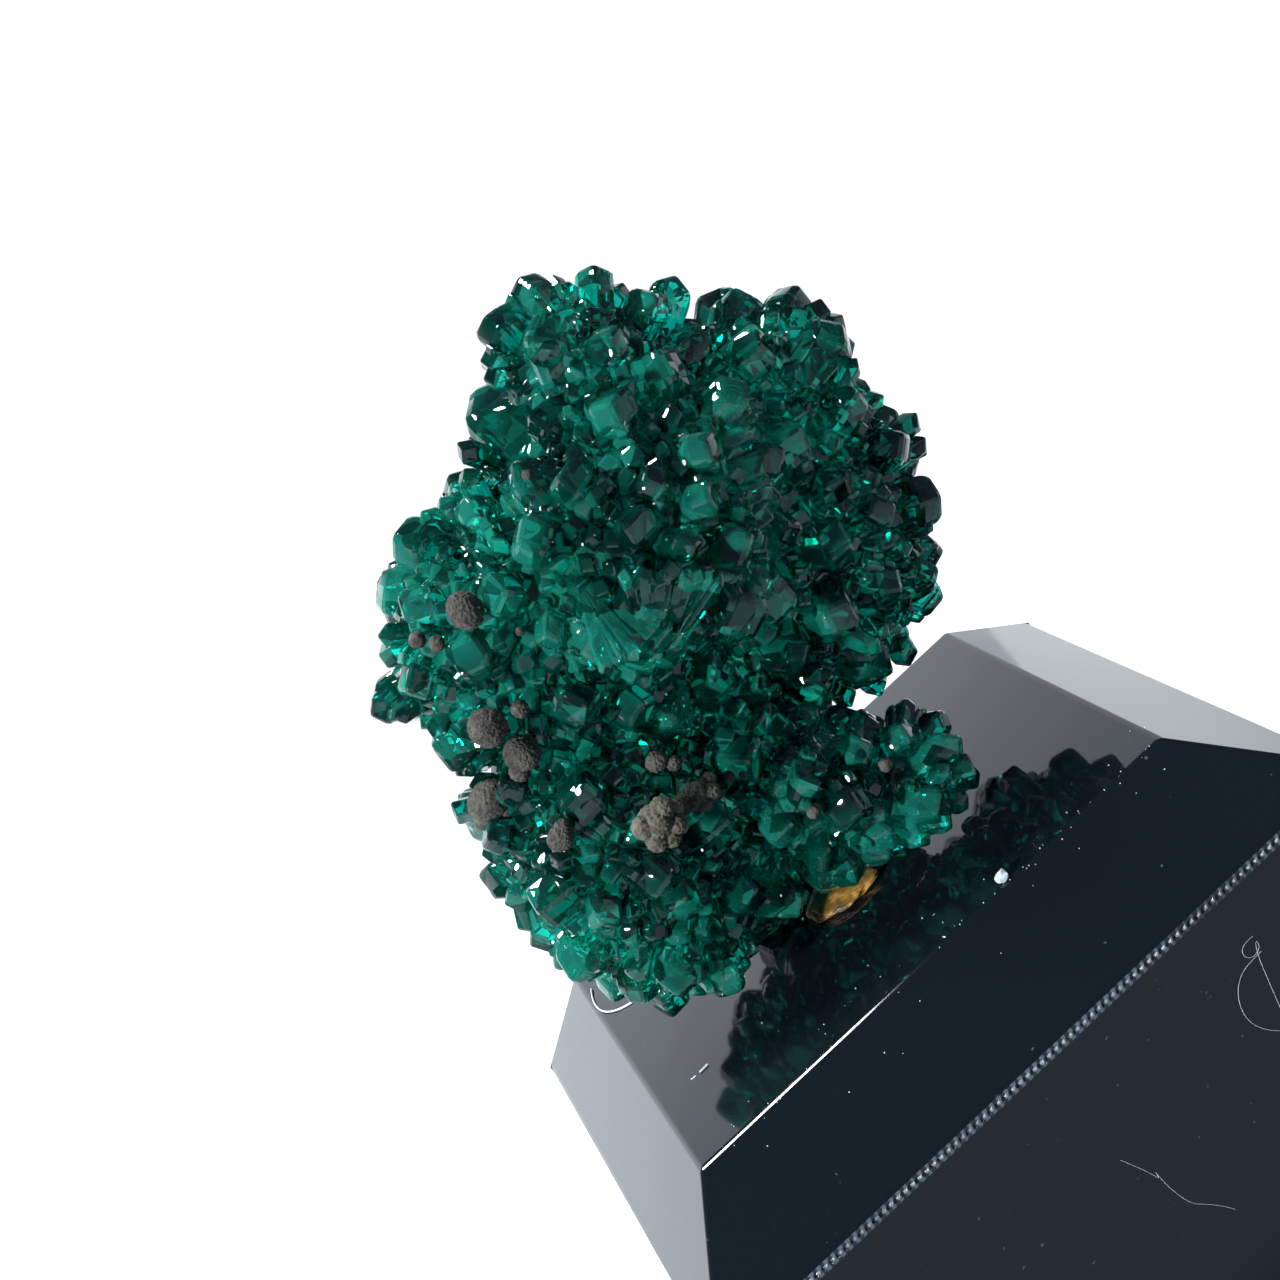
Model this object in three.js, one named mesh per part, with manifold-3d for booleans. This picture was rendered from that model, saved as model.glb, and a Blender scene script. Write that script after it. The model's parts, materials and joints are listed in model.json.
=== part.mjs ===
// A dioptase crystal cluster set with a dab of putty on a small bevelled black acrylic block.
// Millimetres, +Z up. The origin is the middle of the block's underside, and the specimen's
// show side faces -Y.
import * as THREE from 'three';
import { mergeVertices } from 'three/addons/utils/BufferGeometryUtils.js';
import Module from 'manifold-3d';

const wasm = await Module();
wasm.setup();

// The block: a polished square with a broad 45 degree bevel round its top.
const BLOCK_SIDE = 32;
const BLOCK_HEIGHT = 20;
const BLOCK_BEVEL = 4.12;

// Room left between two pieces that rest against each other.
const SEAT_GAP = 0.25;

// The dab of putty that holds the specimen: centre and half-sizes on the block's top.
const PUTTY_CENTRE = [-0.3, -2.2, 0.2];
const PUTTY_SIZE = [2.6, 2.3, 0.5];

// The grown mass under the crystals, as rounded lumps: centre and half-sizes, measured
// from the middle of the block's top face.
const LUMPS = [
  { name: 'core', at: [4.7, 1.6, 14.3], size: [9.4, 4.4, 9.4] },
  { name: 'brow', at: [3.0, -1.2, 17.3], size: [6.6, 6.0, 5.6] },
  { name: 'left shoulder', at: [-2.3, -0.6, 16.5], size: [6.1, 5.0, 6.2] },
  { name: 'peak', at: [5.7, 1.0, 22.6], size: [3.4, 4.0, 3.8] },
  { name: 'right crest', at: [11.7, 2.6, 17.1], size: [3.6, 4.2, 2.9] },
  { name: 'right flank', at: [9.2, 3.6, 11.1], size: [4.3, 4.6, 6.4] },
  { name: 'left foot', at: [-5.9, -2.2, 7.7], size: [4.8, 4.8, 7.1] },
  { name: 'waist', at: [-1.6, 0.4, 5.9], size: [6.0, 4.7, 5.3] },
  { name: 'front knot', at: [1.3, -4.0, 4.5], size: [2.9, 3.0, 2.8] },
  { name: 'right toe', at: [4.4, -4.4, 2.7], size: [2.3, 2.3, 2.0] },
];

// Crystals that stand out on the show side: where they root on its face (x, z), half the
// width of the prism, how far the tip stands off the mass, and the way the tip points.
const SHOW_CRYSTALS = [
  { x: 11.2, z: 19.1, half: 1.35, stands: 1.3, points: [0.25, -0.9, 0.35] },
  { x: 9.2, z: 23.2, half: 1.05, stands: 1.2, points: [0.5, -0.75, 0.4] },
  { x: 2.6, z: 18.7, half: 1.1, stands: 1.1, points: [-0.35, -0.8, 0.5] },
  { x: 3.3, z: 17.2, half: 0.8, stands: 1.3, points: [0.3, -0.9, -0.25] },
  { x: 5.1, z: 17.7, half: 0.95, stands: 1.0, points: [0.2, -0.95, 0.1] },
  { x: 6.3, z: 18.9, half: 0.95, stands: 1.1, points: [0.4, -0.8, 0.4] },
  { x: 4.2, z: 19.3, half: 0.8, stands: 1.0, points: [-0.1, -0.8, 0.6] },
  { x: 1.3, z: 16.1, half: 1.6, stands: 1.4, points: [0.75, -0.6, 0.3] },
  { x: 0.6, z: 14.3, half: 1.3, stands: 1.1, points: [0.35, -0.8, -0.5] },
  { x: -1.5, z: 16.2, half: 1.1, stands: 1.2, points: [0.4, -0.85, -0.35] },
  { x: -2.3, z: 17.6, half: 0.9, stands: 1.0, points: [-0.3, -0.9, 0.25] },
  { x: 8.5, z: 11.4, half: 1.25, stands: 1.1, points: [0.55, -0.8, -0.2] },
  { x: 10.1, z: 13.2, half: 1.05, stands: 1.0, points: [0.6, -0.75, 0.1] },
  { x: 10.0, z: 15.8, half: 1.3, stands: 1.0, points: [0.7, -0.6, 0.35] },
  { x: 7.0, z: 14.0, half: 1.0, stands: 1.1, points: [0.3, -0.9, 0.25] },
  { x: 4.2, z: 9.4, half: 0.95, stands: 1.3, points: [0.2, -0.9, -0.4] },
  { x: 10.8, z: 10.9, half: 1.1, stands: 1.1, points: [0.7, -0.7, -0.1] },
  { x: -7.3, z: 19.0, half: 1.2, stands: 1.2, points: [-0.6, -0.75, 0.1] },
  { x: -9.3, z: 9.5, half: 1.55, stands: 1.2, points: [-0.7, -0.65, 0.25] },
  { x: -5.7, z: 12.0, half: 1.4, stands: 1.2, points: [0.25, -0.75, 0.6] },
  { x: -5.6, z: 8.2, half: 1.25, stands: 1.5, points: [0.2, -0.95, -0.2] },
  { x: -8.1, z: 8.1, half: 1.1, stands: 1.0, points: [-0.35, -0.9, 0.1] },
  { x: -5.5, z: 6.6, half: 1.0, stands: 0.9, points: [0.1, -0.95, 0.2] },
  { x: -3.6, z: 4.4, half: 0.95, stands: 1.1, points: [0.45, -0.85, 0.2] },
  { x: -7.7, z: 3.9, half: 1.15, stands: 1.2, points: [-0.5, -0.8, -0.3] },
  { x: -6.4, z: 2.3, half: 1.05, stands: 1.2, points: [0.1, -0.8, -0.6] },
  { x: 1.0, z: 6.3, half: 1.3, stands: 1.1, points: [-0.15, -0.7, 0.7] },
  { x: -0.9, z: 5.4, half: 1.1, stands: 1.0, points: [-0.7, -0.7, 0.1] },
  { x: 1.6, z: 4.6, half: 1.2, stands: 1.2, points: [0.1, -1.0, -0.15] },
  { x: -0.3, z: 3.6, half: 1.0, stands: 1.0, points: [-0.5, -0.8, -0.4] },
  { x: 3.3, z: 5.6, half: 0.9, stands: 1.0, points: [0.5, -0.6, 0.6] },
  { x: 5.9, z: 3.2, half: 1.05, stands: 1.2, points: [0.85, -0.5, 0.15] },
  { x: 4.0, z: 2.3, half: 1.05, stands: 1.1, points: [0.0, -0.95, -0.3] },
  { x: 5.0, z: 4.5, half: 0.9, stands: 1.1, points: [0.4, -0.6, 0.7] },
  { x: 0.1, z: 2.3, half: 0.95, stands: 1.1, points: [-0.2, -0.5, -0.8] },
  { x: 1.9, z: 2.3, half: 0.9, stands: 1.0, points: [0.2, -0.6, -0.75] },
  { x: -3.0, z: 3.0, half: 1.0, stands: 1.0, points: [0.3, -0.7, -0.6] },
];

// Crystals on the rim of the outline: root inside the mass, tip, and half width.
const RIM_CRYSTALS = [
  { root: [-6.6, -0.8, 18.4], tip: [-9.8, -1.3, 18.9], half: 0.95 },
  { root: [4.6, 1.0, 24.6], tip: [4.2, 0.2, 27.4], half: 1.1 },
  { root: [6.3, 1.0, 24.8], tip: [6.3, 0.6, 27.6], half: 1.1 },
  { root: [7.4, 1.0, 23.9], tip: [8.9, 0.3, 26.0], half: 1.0 },
  { root: [8.4, 1.4, 21.4], tip: [11.3, 1.0, 23.3], half: 1.1 },
  { root: [11.0, 2.4, 18.6], tip: [13.0, 1.9, 21.1], half: 1.1 },
  { root: [12.2, 2.4, 17.8], tip: [15.1, 2.0, 19.4], half: 1.2 },
  { root: [12.0, 2.6, 16.4], tip: [15.3, 2.4, 16.4], half: 1.1 },
  { root: [11.2, 3.0, 14.4], tip: [14.5, 2.8, 14.5], half: 1.1 },
  { root: [11.2, 3.2, 12.2], tip: [15.1, 2.6, 12.3], half: 1.2 },
  { root: [11.0, 3.4, 10.8], tip: [15.0, 2.6, 10.5], half: 1.2 },
  { root: [10.6, 3.4, 9.4], tip: [13.6, 3.0, 8.3], half: 1.0 },
  { root: [9.4, 3.4, 7.4], tip: [11.5, 3.0, 4.5], half: 1.2 },
  { root: [10.0, 3.4, 8.6], tip: [12.8, 2.9, 6.1], half: 1.1 },
  { root: [8.2, 2.4, 7.6], tip: [8.6, 1.8, 4.4], half: 1.1 },
  { root: [7.0, 2.2, 7.4], tip: [6.8, 1.9, 4.2], half: 1.0 },
  { root: [-1.0, 0.0, 21.0], tip: [-1.0, 0.4, 23.7], half: 1.1 },
  { root: [-9.2, -2.0, 6.6], tip: [-11.4, -2.4, 6.2], half: 1.1 },
  { root: [-9.0, -1.8, 4.6], tip: [-10.6, -2.0, 3.2], half: 1.1 },
  { root: [-7.6, -2.6, 4.0], tip: [-9.2, -3.2, 1.4], half: 1.1 },
  { root: [5.2, -3.9, 3.2], tip: [7.5, -3.6, 3.4], half: 0.9 },
  { root: [4.6, -3.8, 3.2], tip: [6.7, -3.3, 4.9], half: 0.9 },
];
// Crystals low on the front lobe that hang over the putty and close the notch beside the lobe.
const LOBE_CRYSTALS = [
  { root: [3.6, -2.5, 3.8], tip: [4.8, -4.1, 5.8], half: 1.05 },
  { root: [4.6, -4.0, 2.6], tip: [6.5, -6.0, 1.4], half: 1.05 },
  { root: [3.6, -4.2, 2.4], tip: [4.2, -7.0, 1.0], half: 1.0 },
  { root: [1.0, -3.6, 3.2], tip: [1.6, -6.5, 1.5], half: 1.0 },
  { root: [-0.8, -2.6, 3.2], tip: [-0.6, -5.4, 1.7], half: 0.95 },
  { root: [-2.4, -2.4, 3.2], tip: [-2.6, -4.8, 1.6], half: 0.95 },
];

// How the crystals close over the rest of the mass: half widths from the first, large
// growth to the smaller fill on the show side, and coarser ones round the back.
const SHOW_GROWTH = [1.35, 1.05];
const BACK_GROWTH = [2.0, 1.6];
const BACK_FROM = 1.6;

// How close two crystals root, as a share of their two half widths together.
const CROWDING = 0.98;

// Slope of the three end faces of a dioptase prism: drop per unit of half width.
const END_SLOPE = 1.23;

// Grey mineral balls on the show side: x and z of the middle, how far it stands off the
// mass, and the radii of the ball and of the knobs grown onto it.
const BALLS = {
  grey_ball_top: { x: -4.2, z: 20.3, off: 0.75, radii: [0.68, 0.66, 0.8] },
  grey_ball_upper: { x: -6.6, z: 16.3, off: 0.85, radii: [0.78, 0.75, 0.8] },
  grey_ball_middle: {
    x: -6.3, z: 14.6, off: 0.9, radii: [0.74, 0.7, 0.74], knobs: [[-0.55, 0.1, -0.5, 0.42]],
  },
  grey_ball_small: { x: -5.2, z: 16.2, off: 0.8, radii: [0.36, 0.36, 0.36] },
  grey_ball_rim: {
    x: -8.5, z: 13.6, off: 0.5, radii: [0.95, 0.85, 0.8],
    knobs: [[0.75, 0, -0.25, 0.5], [-0.6, 0, -0.4, 0.5], [0.1, -0.1, -0.65, 0.45]],
  },
  grey_ball_lower: {
    x: -7.4, z: 11.6, off: 0.8, radii: [0.56, 0.52, 0.5], knobs: [[0.32, 0, 0.26, 0.34]],
  },
  brown_knob_left: {
    x: -4.3, z: 9.8, off: 1.35, radii: [0.82, 0.7, 0.8],
    knobs: [
      [0.5, -0.2, 0.35, 0.5], [-0.5, -0.2, 0.3, 0.48], [0, -0.35, 0.1, 0.52],
      [0.5, -0.2, -0.45, 0.46], [-0.45, -0.2, -0.45, 0.46], [0.05, -0.2, -0.75, 0.4],
      [0.85, 0, -0.05, 0.4],
    ],
  },
  brown_knob_right: {
    x: -2.5, z: 9.2, off: 1.5, radii: [0.66, 0.55, 0.5],
    knobs: [
      [0.5, -0.1, -0.2, 0.42], [-0.5, -0.1, 0.2, 0.42], [0.1, -0.25, 0.25, 0.4],
      [0.05, -0.2, -0.3, 0.38], [0.8, 0.05, 0.15, 0.3],
    ],
  },
  grey_ball_pair: {
    x: -2.7, z: 11.1, off: 1.3, radii: [0.46, 0.44, 0.42], knobs: [[0.42, -0.1, -0.5, 0.3]],
  },
};

// A number between two others, the next of one fixed run, so the growth is always the same.
let dice = 48271;
function roll(low, high) {
  dice = (dice * 16807) % 2147483647;
  return low + ((high - low) * dice) / 2147483647;
}

const vec = (a) => new THREE.Vector3(...a);

// How far out a point lies from a lump's centre, 1 on its surface.
function reach(lump, p) {
  const dx = (p.x - lump.at[0]) / lump.size[0];
  const dy = (p.y - lump.at[1]) / lump.size[1];
  const dz = (p.z - lump.at[2]) / lump.size[2];
  return Math.sqrt(dx * dx + dy * dy + dz * dz);
}

// The foremost point of the mass at x, z.
function frontOf(x, z) {
  let front = null;
  for (const { at, size } of LUMPS) {
    const left = 1 - ((x - at[0]) / size[0]) ** 2 - ((z - at[2]) / size[2]) ** 2;
    const y = at[1] - size[1] * Math.sqrt(Math.max(left, 0));
    if (left > 0 && (front === null || y < front)) front = y;
  }
  return new THREE.Vector3(x, front === null ? 0 : front, z);
}

// Whether a point lies in or near the dab of putty.
function inPutty(p) {
  const away = vec(PUTTY_CENTRE).sub(p).divide(vec(PUTTY_SIZE).addScalar(0.3));
  return away.length() < 1;
}

function solidOf(geometry) {
  geometry.deleteAttribute('normal');
  geometry.deleteAttribute('uv');
  const merged = mergeVertices(geometry, 1e-4);
  return new wasm.Manifold(new wasm.Mesh({
    numProp: 3,
    vertProperties: new Float32Array(merged.attributes.position.array),
    triVerts: new Uint32Array(merged.index.array),
  }));
}

function geometryOf(solid) {
  const { vertProperties, triVerts } = solid.getMesh();
  const geometry = new THREE.BufferGeometry();
  geometry.setAttribute('position', new THREE.BufferAttribute(vertProperties, 3));
  geometry.setIndex(new THREE.BufferAttribute(triVerts, 1));
  geometry.computeVertexNormals();
  return geometry;
}

// One crystal: a six-sided prism closed by three rhombic faces, its low corners on every
// second edge. The foot is at 0 and the tip at length on Z.
function crystalGeometry(half, length) {
  const drop = END_SLOPE * half;
  const points = [0, 0, length, 0, 0, 0];
  for (let i = 0; i < 6; i += 1) {
    const a = (i * Math.PI) / 3;
    const shoulder = length - (i % 2 ? drop : drop / 2);
    points.push(half * Math.cos(a), half * Math.sin(a), shoulder);
    points.push(half * Math.cos(a), half * Math.sin(a), 0);
  }
  const top = (i) => 2 + 2 * (i % 6);
  const foot = (i) => 3 + 2 * (i % 6);
  const faces = [];
  for (let i = 0; i < 6; i += 1) {
    faces.push(top(i), foot(i), foot(i + 1), top(i), foot(i + 1), top(i + 1));
    faces.push(1, foot(i + 1), foot(i));
    if (i % 2) faces.push(0, top(i - 1), top(i), 0, top(i), top(i + 1));
  }
  const geometry = new THREE.BufferGeometry();
  geometry.setAttribute('position', new THREE.Float32BufferAttribute(points, 3));
  geometry.setIndex(faces);
  return geometry;
}

// A crystal turned to point along axis, a little flattened, with its tip at a given point.
function growCrystal({ tip, axis, half, length, spin, flat }) {
  const z = axis.clone().normalize();
  const side = Math.abs(z.z) < 0.9 ? new THREE.Vector3(0, 0, 1) : new THREE.Vector3(1, 0, 0);
  const x = side.cross(z).normalize();
  const y = z.clone().cross(x);
  const turn = new THREE.Matrix4().makeBasis(x, y, z);
  const place = new THREE.Matrix4()
    .makeTranslation(tip.x, tip.y, tip.z)
    .multiply(turn)
    .multiply(new THREE.Matrix4().makeRotationZ(spin))
    .multiply(new THREE.Matrix4().makeScale(1, flat, 1))
    .multiply(new THREE.Matrix4().makeTranslation(0, 0, -length));
  return solidOf(crystalGeometry(half, length).applyMatrix4(place));
}

// The crystals placed by hand come first.
const crystals = [];
for (const { x, z, half, stands, points } of SHOW_CRYSTALS) {
  const foot = frontOf(x, z);
  const axis = vec(points).normalize();
  const tip = foot.clone().addScaledVector(axis, stands);
  crystals.push({
    foot, tip, axis, half, length: stands + 1.5 * half + 0.6, spin: roll(0, 2), flat: roll(0.8, 1),
  });
}
for (const { root, tip, half } of RIM_CRYSTALS) {
  const axis = vec(tip).sub(vec(root));
  const foot = vec(tip).addScaledVector(axis.clone().normalize(), -0.9 * half);
  crystals.push({
    foot, tip: vec(tip), axis, half, length: axis.length(), spin: roll(0, 2), flat: roll(0.85, 1),
  });
}

for (const { root, tip, half } of LOBE_CRYSTALS) {
  const axis = vec(tip).sub(vec(root));
  const foot = vec(tip).addScaledVector(axis.clone().normalize(), -0.9 * half);
  crystals.push({ foot, tip: vec(tip), axis, half, length: axis.length(), spin: 0.6, flat: 0.9 });
}

// Then the mass is closed over, the large growth first, wherever there is still room.
const ballFeet = Object.values(BALLS).map(({ x, z }) => frontOf(x, z));
for (let round = 0; round < SHOW_GROWTH.length; round += 1) {
  for (const lump of LUMPS) {
    const [a, b, c] = lump.size;
    const tries = Math.round(3 * (a * b + b * c + a * c));
    for (let i = 0; i < tries; i += 1) {
      const high = 1 - (2 * i + 1) / tries;
      const flat = Math.sqrt(1 - high * high);
      const turn = i * 2.399963;
      const way = new THREE.Vector3(flat * Math.cos(turn), flat * Math.sin(turn), high);
      const foot = vec(lump.at).add(way.clone().multiply(vec(lump.size)));
      const growth = foot.y > BACK_FROM ? BACK_GROWTH : SHOW_GROWTH;
      const half = growth[round] * roll(0.85, 1.15);
      const lean = new THREE.Vector3(roll(-1, 1), roll(-1, 1), roll(-1, 1));
      const spin = roll(0, 2);
      const squash = roll(0.78, 1);
      const stands = half * roll(0.7, 1.15);
      if (LUMPS.some((other) => other !== lump && reach(other, foot) < 0.99)) continue;
      const axis = way.clone().divide(vec(lump.size)).normalize();
      axis.addScaledVector(lean, 0.55).normalize();
      const tip = foot.clone().addScaledVector(axis, stands);
      if (tip.z < 0.35 || foot.z < 1.1 || inPutty(tip)) continue;
      if (crystals.some((c2) => c2.foot.distanceTo(foot) < CROWDING * (c2.half + half))) continue;
      if (ballFeet.some((ball) => ball.distanceTo(foot) < 0.35 + half)) continue;
      crystals.push({ foot, tip, axis, half, length: stands + 1.7 * half, spin, flat: squash });
    }
  }
}

// The mass and every crystal, joined to one solid, stood on the block's top.
let grown = null;
const join = (piece) => {
  grown = grown ? grown.add(piece) : piece;
};
for (const { at, size } of LUMPS) {
  join(solidOf(new THREE.IcosahedronGeometry(1.05, 1).scale(...size).translate(...at)));
}
for (const crystal of crystals) join(growCrystal(crystal));

// The underside is cleared of the block.
const clearance = new THREE.BoxGeometry(60, 60, 20).translate(0, 0, SEAT_GAP - 10);
grown = grown.subtract(solidOf(clearance));

// Each ball or knobbly ball is its own piece, sunk in a seat in the crystals.
const ballSolids = {};
for (const [name, { x, z, off, radii, knobs = [] }] of Object.entries(BALLS)) {
  const middle = frontOf(x, z).add(new THREE.Vector3(0, -off, 0));
  const lump = (grow) => {
    let body = new THREE.IcosahedronGeometry(1, 1).scale(...radii.map((r) => r + grow));
    let solid = solidOf(body.translate(middle.x, middle.y, middle.z));
    for (const [kx, ky, kz, r] of knobs) {
      body = new THREE.IcosahedronGeometry(1.1 * r + grow, 0);
      body.translate(middle.x + kx, middle.y + ky, middle.z + kz);
      solid = solid.add(solidOf(body));
    }
    return solid;
  };
  ballSolids[name] = lump(0);
  grown = grown.subtract(lump(SEAT_GAP));
}
grown = grown.decompose().sort((a, b) => b.volume() - a.volume())[0];

// The putty fills the hollow between the block's top and the specimen's underside.
const dab = new THREE.IcosahedronGeometry(1, 2).scale(...PUTTY_SIZE).translate(...PUTTY_CENTRE);
let putty = solidOf(dab).subtract(solidOf(clearance.clone()));
putty = putty.subtract(grown).subtract(grown.translate([0, 0, -SEAT_GAP]));
putty = putty.decompose().sort((a, b) => b.volume() - a.volume())[0];

// The block: a four-sided turned shape, its flat sides square to X and Y.
const half = (BLOCK_SIDE / 2) * Math.SQRT2;
const topHalf = (BLOCK_SIDE / 2 - BLOCK_BEVEL) * Math.SQRT2;
const outline = [
  [0, 0], [half, 0], [half, BLOCK_HEIGHT - BLOCK_BEVEL], [topHalf, BLOCK_HEIGHT], [0, BLOCK_HEIGHT],
].map(([r, h]) => new THREE.Vector2(r, h));
const block = new THREE.LatheGeometry(outline, 4, Math.PI / 4).rotateX(Math.PI / 2);

const dioptase = new THREE.MeshStandardMaterial({ color: 0x05694f, roughness: 0.08, metalness: 0 });
const greyMineral = new THREE.MeshStandardMaterial({ color: 0x4c4842, roughness: 0.9, metalness: 0 });
const ochrePutty = new THREE.MeshStandardMaterial({ color: 0x8f7340, roughness: 0.7, metalness: 0 });
const blackAcrylic = new THREE.MeshStandardMaterial({ color: 0x07090b, roughness: 0.03, metalness: 0 });

const specimen = new THREE.Group();
function addPiece(name, geometry, material, height) {
  const mesh = new THREE.Mesh(geometry, material);
  mesh.name = name;
  mesh.position.z = height;
  specimen.add(mesh);
}
addPiece('display_block', block, blackAcrylic, 0);
addPiece('mounting_putty', geometryOf(putty), ochrePutty, BLOCK_HEIGHT);
addPiece('dioptase_cluster', geometryOf(grown), dioptase, BLOCK_HEIGHT);
for (const [name, solid] of Object.entries(ballSolids)) {
  addPiece(name, geometryOf(solid), greyMineral, BLOCK_HEIGHT);
}

export default specimen;
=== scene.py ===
import json
from math import cos, pi, radians, sin, sqrt

import bpy
import bmesh
from mathutils import Matrix, Vector, noise

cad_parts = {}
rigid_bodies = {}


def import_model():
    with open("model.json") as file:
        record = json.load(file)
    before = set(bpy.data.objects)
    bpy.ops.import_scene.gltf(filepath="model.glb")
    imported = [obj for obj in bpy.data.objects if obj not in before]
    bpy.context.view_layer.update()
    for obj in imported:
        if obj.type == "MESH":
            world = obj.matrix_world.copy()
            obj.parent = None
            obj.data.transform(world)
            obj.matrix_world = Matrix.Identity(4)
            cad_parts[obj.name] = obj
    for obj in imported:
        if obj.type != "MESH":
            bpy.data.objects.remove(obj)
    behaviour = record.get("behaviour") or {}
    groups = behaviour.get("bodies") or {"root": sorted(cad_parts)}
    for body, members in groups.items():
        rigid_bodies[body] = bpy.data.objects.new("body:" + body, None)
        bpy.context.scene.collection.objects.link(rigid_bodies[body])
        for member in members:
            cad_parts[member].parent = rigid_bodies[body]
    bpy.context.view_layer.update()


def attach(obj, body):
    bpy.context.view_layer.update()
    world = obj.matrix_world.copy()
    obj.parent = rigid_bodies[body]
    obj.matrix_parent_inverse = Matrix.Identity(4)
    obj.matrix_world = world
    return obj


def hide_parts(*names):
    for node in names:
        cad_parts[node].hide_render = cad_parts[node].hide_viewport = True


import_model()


# The display block. A square of cast black acrylic, sawn, its top edges milled to a broad
# 45 degree bevel and every face polished to a mirror. The mill left a rope-like row of fine
# slanted nicks, still matt, on the ridge between bevel and wall.
MM = 0.001
block_side = 32 * MM
block_height = 20 * MM
block_bevel = 4.12 * MM
broken_edge = 0.16 * MM
ridge_width = 0.62 * MM
ridge_height = block_height - block_bevel
nick_pitch = 0.36 * MM
nick_depth = 0.08 * MM
nick_lean = 0.5
nick_row = ridge_height - 0.19 * ridge_width
wipe_width = 100 / 9 * MM
haze_speck = 5 / 13 * MM
chatter_width = 5 / 12 * MM
worn_stretch = 100 / 11 * MM
acrylic_ior = 1.49
black_acrylic_colour = "#0A1015"


def linear(colour):
    parts = []
    for i in (1, 3, 5):
        c = int(colour[i:i + 2], 16) / 255
        parts.append(c / 12.92 if c <= 0.04045 else ((c + 0.055) / 1.055) ** 2.4)
    return (*parts, 1.0)


def new_finish(name):
    finish = bpy.data.materials.new(name)
    finish.use_nodes = True
    return finish, finish.node_tree.nodes["Principled BSDF"]


def fill(owner, made, inputs):
    for key, value in inputs.items():
        if isinstance(value, bpy.types.NodeSocket):
            owner.node_tree.links.new(value, made.inputs[key])
        else:
            made.inputs[key].default_value = value


def node(owner, kind, inputs=None, stops=(), **settings):
    made = owner.node_tree.nodes.new(kind)
    for key, value in settings.items():
        setattr(made, key, value)
    fill(owner, made, inputs or {})
    if stops:
        for at, colour in stops[1:-1]:
            made.color_ramp.elements.new(at)
        for mark, (at, colour) in zip(made.color_ramp.elements, stops):
            mark.position = at
            mark.color = linear(colour)
    return made


def deselect():
    if bpy.context.object and bpy.context.object.mode != "OBJECT":
        bpy.ops.object.mode_set(mode="OBJECT")
    bpy.ops.object.select_all(action="DESELECT")


def only(piece):
    deselect()
    piece.select_set(True)
    bpy.context.view_layer.objects.active = piece


deselect()
bpy.ops.mesh.primitive_cube_add(size=1, location=(0, 0, block_height / 2))
block = bpy.context.object
block.name = "polished_block"
block.scale = (block_side, block_side, block_height)
bpy.ops.object.transform_apply(location=True, rotation=True, scale=True)

# The four top edges are milled off, the sharp edges are just broken by the polish, then the
# ridge below each bevel is opened to a narrow rounded strip, cut across and nicked.
bpy.ops.object.mode_set(mode="EDIT")
bpy.ops.mesh.select_mode(type="EDGE")
near_top = block_height * 0.99
hair = 0.01 * MM
level_within = 0.001 * MM


def pick_block_edges(wanted):
    bpy.ops.mesh.select_all(action="DESELECT")
    form = bmesh.from_edit_mesh(block.data)
    for edge in form.edges:
        edge.select = wanted(*(v.co for v in edge.verts))
    bmesh.update_edit_mesh(block.data)


pick_block_edges(lambda a, b: min(a.z, b.z) > near_top)
bpy.ops.mesh.bevel(offset=block_bevel, offset_type="OFFSET", segments=1)
pick_block_edges(lambda a, b: min(a.z, b.z) > near_top or abs(a.z - b.z) > block_bevel / 2)
bpy.ops.mesh.bevel(offset=broken_edge, offset_type="OFFSET", segments=4)
pick_block_edges(lambda a, b: max(abs(a.z - ridge_height), abs(b.z - ridge_height)) < hair
                 and (a - b).length > block_side / 2)
bpy.ops.mesh.bevel(offset=ridge_width / 2, offset_type="OFFSET", segments=3)
pick_block_edges(lambda a, b: abs(a.z - ridge_height) < ridge_width and abs(a.z - b.z) < level_within
                 and (a - b).length > block_side / 2)
bpy.ops.mesh.subdivide(number_cuts=round(block_side / nick_pitch) - 1)
bpy.ops.mesh.subdivide(number_cuts=3)
form = bmesh.from_edit_mesh(block.data)
for v in form.verts:
    beside_y = abs(v.co.x) > abs(v.co.y)
    out = abs(v.co.x) if beside_y else abs(v.co.y)
    along = v.co.y if beside_y else v.co.x
    off_ridge = abs(v.co.z - ridge_height) > 0.6 * ridge_width or out < block_side / 2 - 0.3 * ridge_width
    if off_ridge or abs(along) > block_side / 2 - ridge_width:
        continue
    if abs(v.co.z - nick_row) < 0.1 * ridge_width:
        phase = 2 * pi * (v.co.x + v.co.y - nick_lean * v.co.z) / nick_pitch
        deep = nick_depth * (0.5 - 0.5 * sin(phase)) * (1 + 0.4 * noise.noise(v.co * 1200))
        inward = Vector((-v.co.x, 0, 0)) if beside_y else Vector((0, -v.co.y, 0))
        v.co += inward.normalized() * deep - Vector((0, 0, deep * 0.4))
    else:
        slide = nick_lean * (v.co.z - nick_row)
        v.co += Vector((0, slide, 0)) if beside_y else Vector((slide, 0, 0))
bmesh.update_edit_mesh(block.data)
deselect()

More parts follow.
